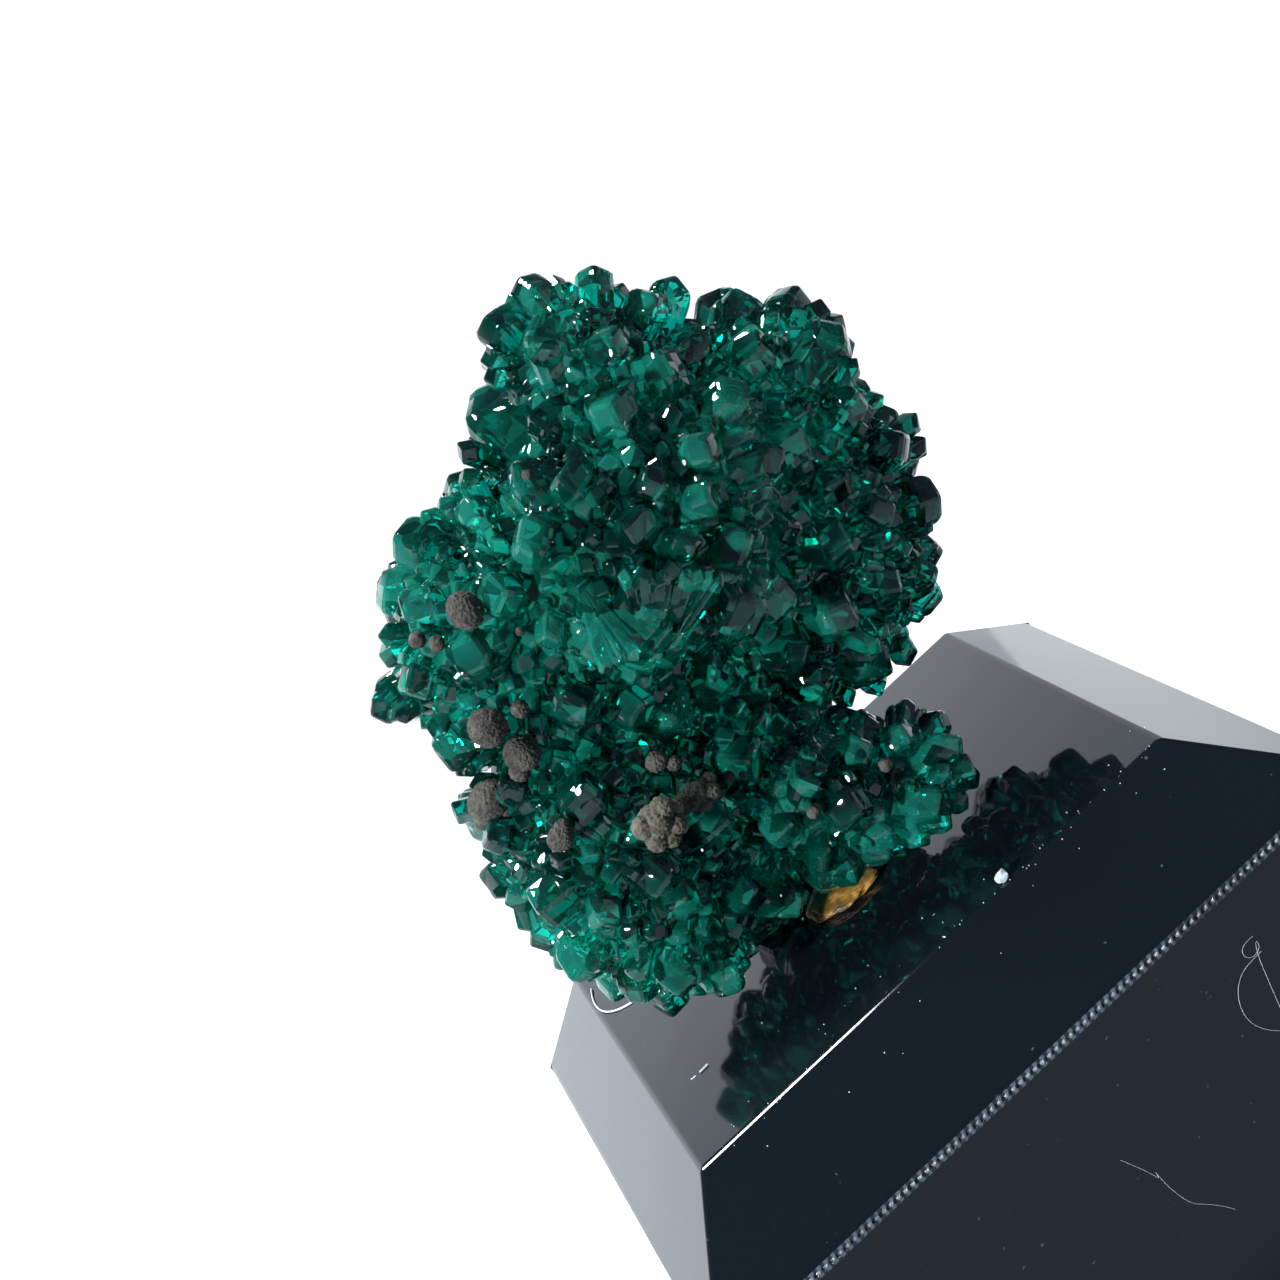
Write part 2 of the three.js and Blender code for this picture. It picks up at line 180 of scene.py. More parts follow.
# Black acrylic: a mirror polish with faint wipe marks and a breath of dust.
acrylic, gloss = new_finish("black_acrylic_polished")
where = node(acrylic, "ShaderNodeTexCoord").outputs["Object"]
wipes = node(acrylic, "ShaderNodeTexNoise", {"Vector": where, "Scale": 1 / wipe_width, "Detail": 3})
haze = node(acrylic, "ShaderNodeMapRange", {"Value": wipes.outputs["Fac"], "From Min": 0.45,
                                            "From Max": 0.8, "To Min": 0.03, "To Max": 0.12})
specks = node(acrylic, "ShaderNodeTexNoise", {"Vector": where, "Scale": 1 / haze_speck, "Detail": 2})
dusted = node(acrylic, "ShaderNodeValToRGB", {"Fac": specks.outputs["Fac"]},
              stops=((0.74, black_acrylic_colour), (0.8, "#3A4650")))
fill(acrylic, gloss, {"Base Color": dusted.outputs["Color"], "Roughness": haze.outputs["Result"],
                      "IOR": acrylic_ior})
block.data.materials.append(acrylic)

# The nicks are matt. Their colour is partly painted highlight and shade: paler and darker slanted stripes
# at the pitch of the nicks, standing in for light caught on their faces, with random chatter on top,
# fading out in places.
milled, matt_edge = new_finish("black_acrylic_milled")
where = node(milled, "ShaderNodeTexCoord").outputs["Object"]
along = node(milled, "ShaderNodeVectorMath", {0: where, 1: (1, 1, -nick_lean)}, operation="DOT_PRODUCT")
turns = node(milled, "ShaderNodeMath", {0: along.outputs["Value"], 1: 2 * pi / nick_pitch},
             operation="MULTIPLY")
wave = node(milled, "ShaderNodeMath", {0: turns.outputs[0]}, operation="SINE")
chatter = node(milled, "ShaderNodeTexNoise", {"Vector": where, "Scale": 1 / chatter_width, "Detail": 4})
rough = node(milled, "ShaderNodeMath", {0: chatter.outputs["Fac"], 1: 2.6}, operation="MULTIPLY")
crest_highlight_with_chatter = node(milled, "ShaderNodeMath", {0: wave.outputs[0], 1: rough.outputs[0]}, operation="ADD")
fading = node(milled, "ShaderNodeTexNoise", {"Vector": where, "Scale": 1 / worn_stretch, "Detail": 2})
shown = node(milled, "ShaderNodeMath", {0: crest_highlight_with_chatter.outputs[0], 1: fading.outputs["Fac"]},
             operation="MULTIPLY")
# Paler stripes along the nicks: painted highlight, broken by random chatter.
painted_highlight_and_chatter = node(milled, "ShaderNodeValToRGB", {"Fac": shown.outputs[0]},
              stops=((0.5, "#161D24"), (1.0, "#414C57")))
fill(milled, matt_edge, {"Base Color": painted_highlight_and_chatter.outputs["Color"], "Roughness": 0.38, "IOR": acrylic_ior})
block.data.materials.append(milled)
for face in block.data.polygons:
    if abs(face.center.z - nick_row) < 0.33 * ridge_width and face.area < 0.1 * ridge_width ** 2:
        face.material_index = 1
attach(block, "root")
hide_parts("display_block")


# The putty. A dab of ochre mineral tack pressed between the specimen and the block, uneven
# at its edge, with a darker skin where it has been handled.
top = block_height
putty_centre = Vector((-0.3, -2.2, 0.2)) * MM
putty_size = Vector((2.6, 2.3, 0.5)) * MM
putty_foot = 0.02 * MM
tack_grain = 10 / 9 * MM
deselect()
bpy.ops.mesh.primitive_ico_sphere_add(subdivisions=6, radius=1)
putty = bpy.context.object
putty.name = "ochre_putty"
for v in putty.data.vertices:
    way = v.co.normalized()
    swell = 0.75 + 0.1 * noise.noise(way * 2.2) + 0.03 * noise.noise(way * 9)
    v.co = putty_centre + Vector(a * b for a, b in zip(way, putty_size)) * swell
    v.co.z = max(v.co.z, putty_foot) + top
bpy.ops.object.shade_smooth()
tack, waxy = new_finish("ochre_putty")
where = node(tack, "ShaderNodeTexCoord").outputs["Object"]
grain = node(tack, "ShaderNodeTexNoise", {"Vector": where, "Scale": 1 / tack_grain, "Detail": 5})
ochre = node(tack, "ShaderNodeValToRGB", {"Fac": grain.outputs["Fac"]},
             stops=((0.35, "#3E3018"), (0.65, "#9A7432")))
rub = node(tack, "ShaderNodeBump", {"Height": grain.outputs["Fac"], "Strength": 0.4, "Distance": 0.1 * MM})
fill(tack, waxy, {"Base Color": ochre.outputs["Color"], "Normal": rub.outputs["Normal"],
                  "Roughness": 0.5})
putty.data.materials.append(tack)
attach(putty, "root")
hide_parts("mounting_putty")


# The dioptase. One natural piece: a rounded mass wholly covered by six-sided prisms, each
# closed by three rhombic faces, the large ones built of several parallel individuals and the
# small ones filling every gap. It is all one crystal growth, joined to a single solid.
lumps = [
    ((4.7, 1.6, 14.3), (9.4, 4.4, 9.4)),
    ((3.0, -1.2, 17.3), (6.6, 6.0, 5.6)),
    ((-2.3, -0.6, 16.5), (6.1, 5.0, 6.2)),
    ((5.7, 1.0, 22.6), (3.4, 4.0, 3.8)),
    ((11.7, 2.6, 17.1), (3.6, 4.2, 2.9)),
    ((9.2, 3.6, 11.1), (4.3, 4.6, 6.4)),
    ((-5.9, -2.2, 7.7), (4.8, 4.8, 7.1)),
    ((-1.6, 0.4, 5.9), (6.0, 4.7, 5.3)),
    ((1.3, -4.0, 4.5), (2.9, 3.0, 2.8)),
    ((4.4, -4.4, 2.7), (2.3, 2.3, 2.0)),
]
# Crystals read off the show side: root x and z, half width, stand, and the way they point.
show_crystals = [
    (11.2, 19.1, 1.35, 1.3, (0.25, -0.9, 0.35)),
    (9.2, 23.2, 1.05, 1.2, (0.5, -0.75, 0.4)),
    (2.6, 18.7, 1.1, 1.1, (-0.35, -0.8, 0.5)),
    (3.3, 17.2, 0.8, 1.3, (0.3, -0.9, -0.25)),
    (5.1, 17.7, 0.95, 1.0, (0.2, -0.95, 0.1)),
    (6.3, 18.9, 0.95, 1.1, (0.4, -0.8, 0.4)),
    (4.2, 19.3, 0.8, 1.0, (-0.1, -0.8, 0.6)),
    (1.3, 16.1, 1.6, 1.4, (0.75, -0.6, 0.3)),
    (0.6, 14.3, 1.3, 1.1, (0.35, -0.8, -0.5)),
    (-1.5, 16.2, 1.1, 1.2, (0.4, -0.85, -0.35)),
    (-2.3, 17.6, 0.9, 1.0, (-0.3, -0.9, 0.25)),
    (8.5, 11.4, 1.25, 1.1, (0.55, -0.8, -0.2)),
    (10.1, 13.2, 1.05, 1.0, (0.6, -0.75, 0.1)),
    (10.0, 15.8, 1.3, 1.0, (0.7, -0.6, 0.35)),
    (7.0, 14.0, 1.0, 1.1, (0.3, -0.9, 0.25)),
    (4.2, 9.4, 0.95, 1.3, (0.2, -0.9, -0.4)),
    (10.8, 10.9, 1.1, 1.1, (0.7, -0.7, -0.1)),
    (-7.3, 19.0, 1.2, 1.2, (-0.6, -0.75, 0.1)),
    (-9.3, 9.5, 1.55, 1.2, (-0.7, -0.65, 0.25)),
    (-5.7, 12.0, 1.4, 1.2, (0.25, -0.75, 0.6)),
    (-5.6, 8.2, 1.25, 1.5, (0.2, -0.95, -0.2)),
    (-8.1, 8.1, 1.1, 1.0, (-0.35, -0.9, 0.1)),
    (-5.5, 6.6, 1.0, 0.9, (0.1, -0.95, 0.2)),
    (-3.6, 4.4, 0.95, 1.1, (0.45, -0.85, 0.2)),
    (-7.7, 3.9, 1.15, 1.2, (-0.5, -0.8, -0.3)),
    (-6.4, 2.3, 1.05, 1.2, (0.1, -0.8, -0.6)),
    (1.0, 6.3, 1.3, 1.1, (-0.15, -0.7, 0.7)),
    (-0.9, 5.4, 1.1, 1.0, (-0.7, -0.7, 0.1)),
    (1.6, 4.6, 1.2, 1.2, (0.1, -1.0, -0.15)),
    (-0.3, 3.6, 1.0, 1.0, (-0.5, -0.8, -0.4)),
    (3.3, 5.6, 0.9, 1.0, (0.5, -0.6, 0.6)),
    (5.9, 3.2, 1.05, 1.2, (0.85, -0.5, 0.15)),
    (4.0, 2.3, 1.05, 1.1, (0.0, -0.95, -0.3)),
    (5.0, 4.5, 0.9, 1.1, (0.4, -0.6, 0.7)),
    (0.1, 2.3, 0.95, 1.1, (-0.2, -0.5, -0.8)),
    (1.9, 2.3, 0.9, 1.0, (0.2, -0.6, -0.75)),
    (-3.0, 3.0, 1.0, 1.0, (0.3, -0.7, -0.6)),
]
# Crystals on the rim of the outline: root inside the mass, tip, half width.
rim_crystals = [
    ((-6.6, -0.8, 18.4), (-9.8, -1.3, 18.9), 0.95),
    ((4.6, 1.0, 24.6), (4.2, 0.2, 27.4), 1.1),
    ((6.3, 1.0, 24.8), (6.3, 0.6, 27.6), 1.1),
    ((7.4, 1.0, 23.9), (8.9, 0.3, 26.0), 1.0),
    ((8.4, 1.4, 21.4), (11.3, 1.0, 23.3), 1.1),
    ((11.0, 2.4, 18.6), (13.0, 1.9, 21.1), 1.1),
    ((12.2, 2.4, 17.8), (15.1, 2.0, 19.4), 1.2),
    ((12.0, 2.6, 16.4), (15.3, 2.4, 16.4), 1.1),
    ((11.2, 3.0, 14.4), (14.5, 2.8, 14.5), 1.1),
    ((11.2, 3.2, 12.2), (15.1, 2.6, 12.3), 1.2),
    ((11.0, 3.4, 10.8), (15.0, 2.6, 10.5), 1.2),
    ((10.6, 3.4, 9.4), (13.6, 3.0, 8.3), 1.0),
    ((9.4, 3.4, 7.4), (11.5, 3.0, 4.5), 1.2),
    ((10.0, 3.4, 8.6), (12.8, 2.9, 6.1), 1.1),
    ((8.2, 2.4, 7.6), (8.6, 1.8, 4.4), 1.1),
    ((7.0, 2.2, 7.4), (6.8, 1.9, 4.2), 1.0),
    ((-1.0, 0.0, 21.0), (-1.0, 0.4, 23.7), 1.1),
    ((-9.2, -2.0, 6.6), (-11.4, -2.4, 6.2), 1.1),
    ((-9.0, -1.8, 4.6), (-10.6, -2.0, 3.2), 1.1),
    ((-7.6, -2.6, 4.0), (-9.2, -3.2, 1.4), 1.1),
    ((5.2, -3.9, 3.2), (7.5, -3.6, 3.4), 0.9),
    ((4.6, -3.8, 3.2), (6.7, -3.3, 4.9), 0.9),
]
# Crystals low on the front lobe that hang over the putty and close the notch beside the lobe.
lobe_crystals = [
    ((3.6, -2.5, 3.8), (4.8, -4.1, 5.8), 1.05),
    ((4.6, -4.0, 2.6), (6.5, -6.0, 1.4), 1.05),
    ((3.6, -4.2, 2.4), (4.2, -7.0, 1.0), 1.0),
    ((1.0, -3.6, 3.2), (1.6, -6.5, 1.5), 1.0),
    ((-0.8, -2.6, 3.2), (-0.6, -5.4, 1.7), 0.95),
    ((-2.4, -2.4, 3.2), (-2.6, -4.8, 1.6), 0.95),
]
# Small crystals that hang from the lobe's underside, nearly down to the block: tip, half width.
lobe_underside = [
    ((3.2, -5.9, 0.5), 0.6), ((4.3, -6.1, 0.45), 0.65), ((5.3, -5.9, 0.5), 0.6),
    ((6.2, -5.3, 0.6), 0.6), ((5.0, -4.9, 0.4), 0.6), ((2.2, -5.3, 0.6), 0.5),
    ((1.2, -5.0, 0.8), 0.5), ((3.8, -5.1, 0.4), 0.6),
]
# Slimmer crystals that close the outline between the large ones of the rim: tip, half width.
rim_small = [
    ((-11.0, -2.4, 9.7), 0.8), ((-11.3, -2.4, 8.6), 0.8), ((-11.4, -2.5, 7.7), 0.8),
    ((-11.1, -2.7, 6.9), 0.7), ((8.4, 3.0, 3.3), 0.7), ((6.8, 2.8, 3.5), 0.65),
    ((5.4, 2.4, 4.1), 0.6), ((15.3, 1.4, 18.4), 0.7), ((15.6, 1.6, 17.2), 0.7),
    ((15.3, 1.8, 15.9), 0.7), ((-7.9, -1.4, 20.5), 0.65), ((-7.4, -1.4, 21.1), 0.6),
    ((-8.9, -1.8, 14.8), 0.7), ((-8.8, -1.7, 14.2), 0.6), ((-8.2, -1.9, 14.4), 0.6),
    ((2.9, 0.0, 26.2), 0.6), ((2.5, -0.2, 25.6), 0.6), ((14.7, 2.2, 14.3), 0.6),
    ((14.9, 2.4, 13.4), 0.6), ((4.9, 0.8, 27.2), 0.65), ((5.6, 0.8, 27.3), 0.65),
    ((-2.8, -0.8, 23.5), 0.6), ((-1.9, -0.8, 23.4), 0.6), ((9.4, 0.8, 24.5), 0.6),
    ((9.7, 0.6, 23.7), 0.6), ((7.4, 0.6, 26.7), 0.6), ((7.7, 0.6, 26.1), 0.6),
    ((0.0, -0.8, 24.2), 0.6), ((-0.4, -0.8, 23.6), 0.55), ((15.5, 2.4, 11.5), 0.6),
    ((15.1, 2.4, 10.5), 0.6), ((-10.3, -2.4, 11.9), 0.6),
]
# Two fans of slender prisms on the brow, grown so close that they read as one fluted wedge:
# root, first tip, last tip, how many, half width.
fans = [
    ((-0.3, -5.8, 13.8), (1.2, -8.0, 18.1), (3.2, -8.0, 15.3), 11, 0.45),
    ((-0.3, -5.4, 18.2), (-1.8, -7.2, 15.2), (-0.3, -7.5, 15.0), 5, 0.45),
]
# Where the grey balls sit: x, z and how far the middle stands off the mass.
ball_seats = {
    "grey_ball_top": (-4.2, 20.3, 0.75),
    "grey_ball_upper": (-6.6, 16.3, 0.85),
    "grey_ball_middle": (-6.3, 14.6, 0.9),
    "grey_ball_small": (-5.2, 16.2, 0.8),
    "grey_ball_rim": (-8.5, 13.6, 0.5),
    "grey_ball_lower": (-7.4, 11.6, 0.8),
    "brown_knob_left": (-4.3, 9.8, 1.35),
    "brown_knob_right": (-2.5, 9.2, 1.5),
    "grey_ball_pair": (-2.7, 11.1, 1.3),
}
show_growth = (1.35, 1.05)
back_growth = (2.0, 1.6)
back_from = 1.6
crowding = 0.98
ball_room = 0.35
large_density = 3
fill_density = 12
fill_growth = (0.62, 0.45, 0.34)
fill_crowding = 0.7
fill_cell = 2
tip_above_foot = 0.9
inside_other = 0.99
lean_share = 0.55
putty_margin = 0.3
slimmed = 0.93
few_shoulders_below = 1.2
large_footprint = 0.6
paired_edges_from = 0.55
mass_set_back = 0.75
fill_set_back = 0.5
lowest_tip = 0.35
lowest_foot = 1.1
underside_gap = 0.25 * MM
end_slope = 1.23
golden_turn = 2.399963
dice = 48271
dice_step = 16807
dice_sides = 2147483647


def roll(low, high):
    global dice
    dice = (dice * dice_step) % dice_sides
    return low + ((high - low) * dice) / dice_sides


def front_of(x, z):
    fronts = []
    for at, size in lumps:
        left = 1 - ((x - at[0]) / size[0]) ** 2 - ((z - at[2]) / size[2]) ** 2
        if left > 0:
            fronts.append(at[1] - size[1] * sqrt(left))
    return Vector((x, min(fronts) if fronts else 0, z))


def reach(lump, p):
    at, size = lump
    return sqrt(sum(((p[i] - at[i]) / size[i]) ** 2 for i in range(3)))


def in_putty(p):
    return sqrt(sum(((putty_centre[i] / MM - p[i]) / (putty_size[i] / MM + putty_margin)) ** 2
                    for i in range(3))) < 1


crystals = []
for x, z, half, stands, points in show_crystals:
    foot = front_of(x, z)
    axis = Vector(points).normalized()
    crystals.append((foot, foot + axis * stands, axis, half, roll(0, 2), roll(0.8, 1)))
for root, tip, half in rim_crystals:
    axis = (Vector(tip) - Vector(root)).normalized()
    foot = Vector(tip) - axis * tip_above_foot * half
    crystals.append((foot, Vector(tip), axis, half, roll(0, 2), roll(0.85, 1)))
for root, tip, half in lobe_crystals:
    axis = (Vector(tip) - Vector(root)).normalized()
    foot = Vector(tip) - axis * tip_above_foot * half
    crystals.append((foot, Vector(tip), axis, half, 0.6, 0.9))

ball_feet = [front_of(x, z) for x, z, off in ball_seats.values()]


# The spots round one lump, evenly spread, and what could grow there.
def spots(mass, lump, density, pick_half, squash_from, stand_from, stand_to):
    at, size = lump
    a, b, c = size
    tries = int(density * (a * b + b * c + a * c) + 0.5)
    for i in range(tries):
        high = 1 - (2 * i + 1) / tries
        flat = sqrt(1 - high * high)
        turn = i * golden_turn
        way = Vector((flat * cos(turn), flat * sin(turn), high))
        foot = Vector(at[k] + way[k] * size[k] for k in range(3))
        half = pick_half(foot) * roll(0.85, 1.15)
        lean = Vector((roll(-1, 1), roll(-1, 1), roll(-1, 1)))
        spin = roll(0, 2)
        squash = roll(squash_from, 1)
        stands = half * roll(stand_from, stand_to)
        if any(other is not lump and reach(other, foot) < inside_other for other in mass):
            continue
        axis = Vector(way[k] / size[k] for k in range(3)).normalized()
        axis = (axis + lean * lean_share).normalized()
        tip = foot + axis * stands
        if tip.z < lowest_tip or foot.z < lowest_foot or in_putty(tip):
            continue
        yield foot, tip, axis, half, spin, squash


for show_half, back_half in zip(show_growth, back_growth):
    for lump in lumps:
        for spot in spots(lumps, lump, large_density,
                          lambda foot: back_half if foot.y > back_from else show_half, 0.78, 0.7, 1.15):
            foot, half = spot[0], spot[3]
            if any((other[0] - foot).length < crowding * (other[3] + half) for other in crystals):
                continue
            if any((ball - foot).length < ball_room + half for ball in ball_feet):
                continue
            crystals.append(spot)

# Each large crystal carries smaller ones parallel to it on its shoulders, their tips lower.
individuals = []
for foot, tip, axis, half, spin, squash in crystals:
    individuals.append((tip, axis, half * slimmed, spin, squash, roll(0.7, 1.05), "large"))
    side = axis.orthogonal().normalized()
    across = axis.cross(side)
    for k in range(2 if half < few_shoulders_below else 4):
        turn = roll(0, 2 * pi)
        out = half * roll(0.6, 1.0)
        drop = 0.7 * out + half * roll(-0.05, 0.3)
        wobble = Vector((roll(-1, 1), roll(-1, 1), roll(-1, 1))) * 0.12
        place = tip + (side * cos(turn) + across * sin(turn)) * out - axis * drop
        if place.z > lowest_tip:
            individuals.append((place, (axis + wobble).normalized(), half * roll(0.2, 0.42), spin,
                                0.95, 1.0, "small"))
for tip, half in lobe_underside:
    way = Vector((roll(-0.2, 0.4), roll(-0.7, -0.3), roll(-0.9, -0.5)))
    individuals.append((Vector(tip), way.normalized(), half, roll(0, 2), 0.9, 1.0, "large"))
for root, first, last, count, half in fans:
    for k in range(count):
        way = Vector(first).lerp(Vector(last), k / (count - 1)) - Vector(root)
        way = way.normalized() * (Vector(first) - Vector(root)).length * roll(0.93, 1.03)
        way += Vector((0, -1, 0)) * 0.25 * sin(pi * k / (count - 1))
        individuals.append((Vector(root) + way, way.normalized(), half * roll(0.8, 1.1), roll(0, 2),
                            0.85, 1.0, "blade"))

# The small growth between, thinned where there is no more room.
near = {}


def cell(p):
    return (int(p.x // fill_cell), int(p.y // fill_cell), int(p.z // fill_cell))


def crowded(foot, half):
    cx, cy, cz = cell(foot)
    around = [(cx + i, cy + j, cz + k) for i in (-1, 0, 1) for j in (-1, 0, 1) for k in (-1, 0, 1)]
    for place in around:
        for other, other_half in near.get(place, ()):
            if (other - foot).length < fill_crowding * (other_half + half):
                return True
    return False


for foot, tip, axis, half, spin, squash in crystals:
    near.setdefault(cell(foot), []).append((foot, half * large_footprint))
inner = [(at, tuple(s - fill_set_back for s in size)) for at, size in lumps]
for growth in fill_growth:
    for lump in inner:
        for foot, tip, axis, half, spin, squash in spots(inner, lump, fill_density / growth,
                                                         lambda foot: growth, 0.75, 0.5, 1.2):
            if crowded(foot, half):
                continue
            near.setdefault(cell(foot), []).append((foot, half))
            individuals.append((tip, axis, half, spin, squash, roll(0.75, 1.15),
                                "large" if half > paired_edges_from else "small"))
for tip, half in rim_small:
    at, size = min(lumps, key=lambda lump: reach(lump, tip))
    way = Vector((tip[k] - at[k]) / size[k] ** 2 for k in range(3)).normalized()
    individuals.append((Vector(tip), way, half, roll(0, 2), 0.9, 0.8, "blade"))


# A crystal is cut as a cutter would: a hexagonal bar, its end sliced three times, its edges
# broken by narrow side faces. The large pattern has these in pairs, the others single.
def pattern_crystal(edge_width, edge_faces, bar_length):
    deselect()
    bpy.ops.mesh.primitive_cylinder_add(vertices=6, radius=1, depth=bar_length,
                                        location=(0, 0, -bar_length / 2), rotation=(0, 0, radians(30)))
    bar = bpy.context.object
    bpy.ops.object.transform_apply(location=True, rotation=True, scale=True)
    bpy.ops.object.mode_set(mode="EDIT")
    for turn in (60, 180, 300):
        bpy.ops.mesh.select_all(action="SELECT")
        slope = Vector((end_slope * cos(radians(turn)), end_slope * sin(radians(turn)), 1)).normalized()
        bpy.ops.mesh.bisect(plane_co=(0, 0, 0), plane_no=slope, use_fill=True, clear_outer=True)
    bpy.ops.mesh.select_all(action="SELECT")
    bpy.ops.mesh.normals_make_consistent(inside=False)
    bpy.ops.mesh.select_mode(type="EDGE")
    bpy.ops.mesh.select_all(action="DESELECT")
    form = bmesh.from_edit_mesh(bar.data)
    for edge in form.edges:
        edge.select = max(v.co.z for v in edge.verts) > -bar_length / 2
    bmesh.update_edit_mesh(bar.data)
    bpy.ops.mesh.bevel(offset=edge_width, offset_type="OFFSET", segments=edge_faces)
    deselect()
    return bar


patterns = {
    "large": pattern_crystal(edge_width=0.22, edge_faces=2, bar_length=3.2),
    "small": pattern_crystal(edge_width=0.1, edge_faces=1, bar_length=3.2),
    "blade": pattern_crystal(edge_width=0.1, edge_faces=1, bar_length=8.5),
}
onto_block = Matrix.Translation((0, 0, top))
growth_set = bpy.data.collections.new("crystal_growth")
bpy.context.scene.collection.children.link(growth_set)
for tip, axis, half, spin, squash, blunt, kind in individuals:
    side = Vector((0, 0, 1)) if abs(axis.z) < 0.9 else Vector((1, 0, 0))
    x = side.cross(axis).normalized()
    y = axis.cross(x)
    turn = Matrix((x, y, axis)).transposed().to_4x4()
    place = Matrix.Translation(tip) @ turn @ Matrix.Rotation(spin, 4, "Z")
    place = place @ Matrix.Diagonal((half, half * squash, half * blunt, 1))
    grown = patterns[kind].data.copy()
    grown.transform(onto_block @ Matrix.Scale(MM, 4) @ place)
    growth_set.objects.link(bpy.data.objects.new("crystal", grown))
for pattern in patterns.values():
    bpy.data.objects.remove(pattern)

# The mass itself, then everything joined to one closed solid.
bodies = []
for at, size in lumps:
    deselect()
    bpy.ops.mesh.primitive_ico_sphere_add(subdivisions=4, radius=1)
    bodies.append(bpy.context.object)
    stretch = Matrix.Diagonal((*((s - mass_set_back) * MM for s in size), 1))
    bodies[-1].data.transform(Matrix.Translation(Vector(at) * MM + Vector((0, 0, top))) @ stretch)
cluster = bodies.pop(0)
cluster.name = "dioptase_crystals"
for body in bodies:
    growth_set.objects.link(body)
    bpy.context.collection.objects.unlink(body)
only(cluster)
join = cluster.modifiers.new("join", "BOOLEAN")
join.operation = "UNION"
join.solver = "MANIFOLD"
join.operand_type = "COLLECTION"
join.collection = growth_set
bpy.ops.object.modifier_apply(modifier="join")
for grown in list(growth_set.objects):
    bpy.data.objects.remove(grown)
bpy.data.collections.remove(growth_set)

# The underside is cleared of the block.
only(cluster)
bpy.ops.object.mode_set(mode="EDIT")
bpy.ops.mesh.select_all(action="SELECT")
bpy.ops.mesh.bisect(plane_co=(0, 0, top + underside_gap), plane_no=(0, 0, -1),
                    use_fill=True, clear_outer=True)
bpy.ops.mesh.select_all(action="SELECT")
bpy.ops.mesh.quads_convert_to_tris(quad_method="BEAUTY", ngon_method="BEAUTY")
deselect()

# Dioptase: clear deep green, darkening fast with thickness. Each face is a mosaic of small
# growth faces that tilt a little apart and are faintly bulged, and milky veils lie where old
# cracks have healed.
growth_face_width = 10 / 9 * MM
growth_face_tilt = 0.18
growth_face_bulge = 200
veil_width = 50 / 21 * MM
clear_zone_width = 20 / 3 * MM
dioptase, crystal = new_finish("dioptase_clear_green")
where = node(dioptase, "ShaderNodeTexCoord").outputs["Object"]
veils = node(dioptase, "ShaderNodeTexNoise", {"Vector": where, "Scale": 1 / veil_width, "Detail": 2})
clear_zones = node(dioptase, "ShaderNodeTexNoise",
                   {"Vector": where, "Scale": 1 / clear_zone_width, "Detail": 0})
growth_faces = node(dioptase, "ShaderNodeTexVoronoi", {"Vector": where, "Scale": 1 / growth_face_width})
own = node(dioptase, "ShaderNodeSeparateColor", {"Color": growth_faces.outputs["Color"]})
pale = node(dioptase, "ShaderNodeMath", {0: clear_zones.outputs["Fac"], 1: own.outputs["Red"]},
            operation="ADD")
paler = node(dioptase, "ShaderNodeMath", {0: pale.outputs[0], 1: veils.outputs["Fac"]}, operation="ADD")
third = node(dioptase, "ShaderNodeMath", {0: paler.outputs[0], 1: 1 / 3}, operation="MULTIPLY")
green = node(dioptase, "ShaderNodeValToRGB", {"Fac": third.outputs[0]},
             stops=((0.37, "#034F43"), (0.5, "#06967F"), (0.62, "#3CF5D8")))
frost = node(dioptase, "ShaderNodeMapRange", {"Value": veils.outputs["Fac"], "From Min": 0.55,
                                              "From Max": 0.75, "To Min": 0.03, "To Max": 0.12})
centred = node(dioptase, "ShaderNodeVectorMath",
               {0: growth_faces.outputs["Color"], 1: (0.5, 0.5, 0.5)}, operation="SUBTRACT")
bulge = node(dioptase, "ShaderNodeVectorMath", {0: where, 1: growth_faces.outputs["Position"]},
             operation="SUBTRACT")
tilt = node(dioptase, "ShaderNodeNewGeometry").outputs["Normal"]
for offset, amount in ((centred, growth_face_tilt), (bulge, growth_face_bulge)):
    part = node(dioptase, "ShaderNodeVectorMath", {0: offset.outputs[0], "Scale": amount},
                operation="SCALE")
    tilt = node(dioptase, "ShaderNodeVectorMath", {0: tilt, 1: part.outputs[0]},
                operation="ADD").outputs[0]
tilt = node(dioptase, "ShaderNodeVectorMath", {0: tilt}, operation="NORMALIZE").outputs[0]
fill(dioptase, crystal, {"Base Color": green.outputs["Color"], "Roughness": frost.outputs["Result"],
                         "Normal": tilt, "IOR": 1.67, "Transmission Weight": 0.92})
deep = node(dioptase, "ShaderNodeVolumeAbsorption", {"Color": (0.01, 0.952, 0.947, 1), "Density": 4000})
fill(dioptase, dioptase.node_tree.nodes["Material Output"], {"Volume": deep.outputs["Volume"]})
cluster.data.materials.clear()
cluster.data.materials.append(dioptase)
for face in cluster.data.polygons:
    face.use_smooth = False
    face.material_index = 0
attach(cluster, "root")
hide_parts("dioptase_cluster")


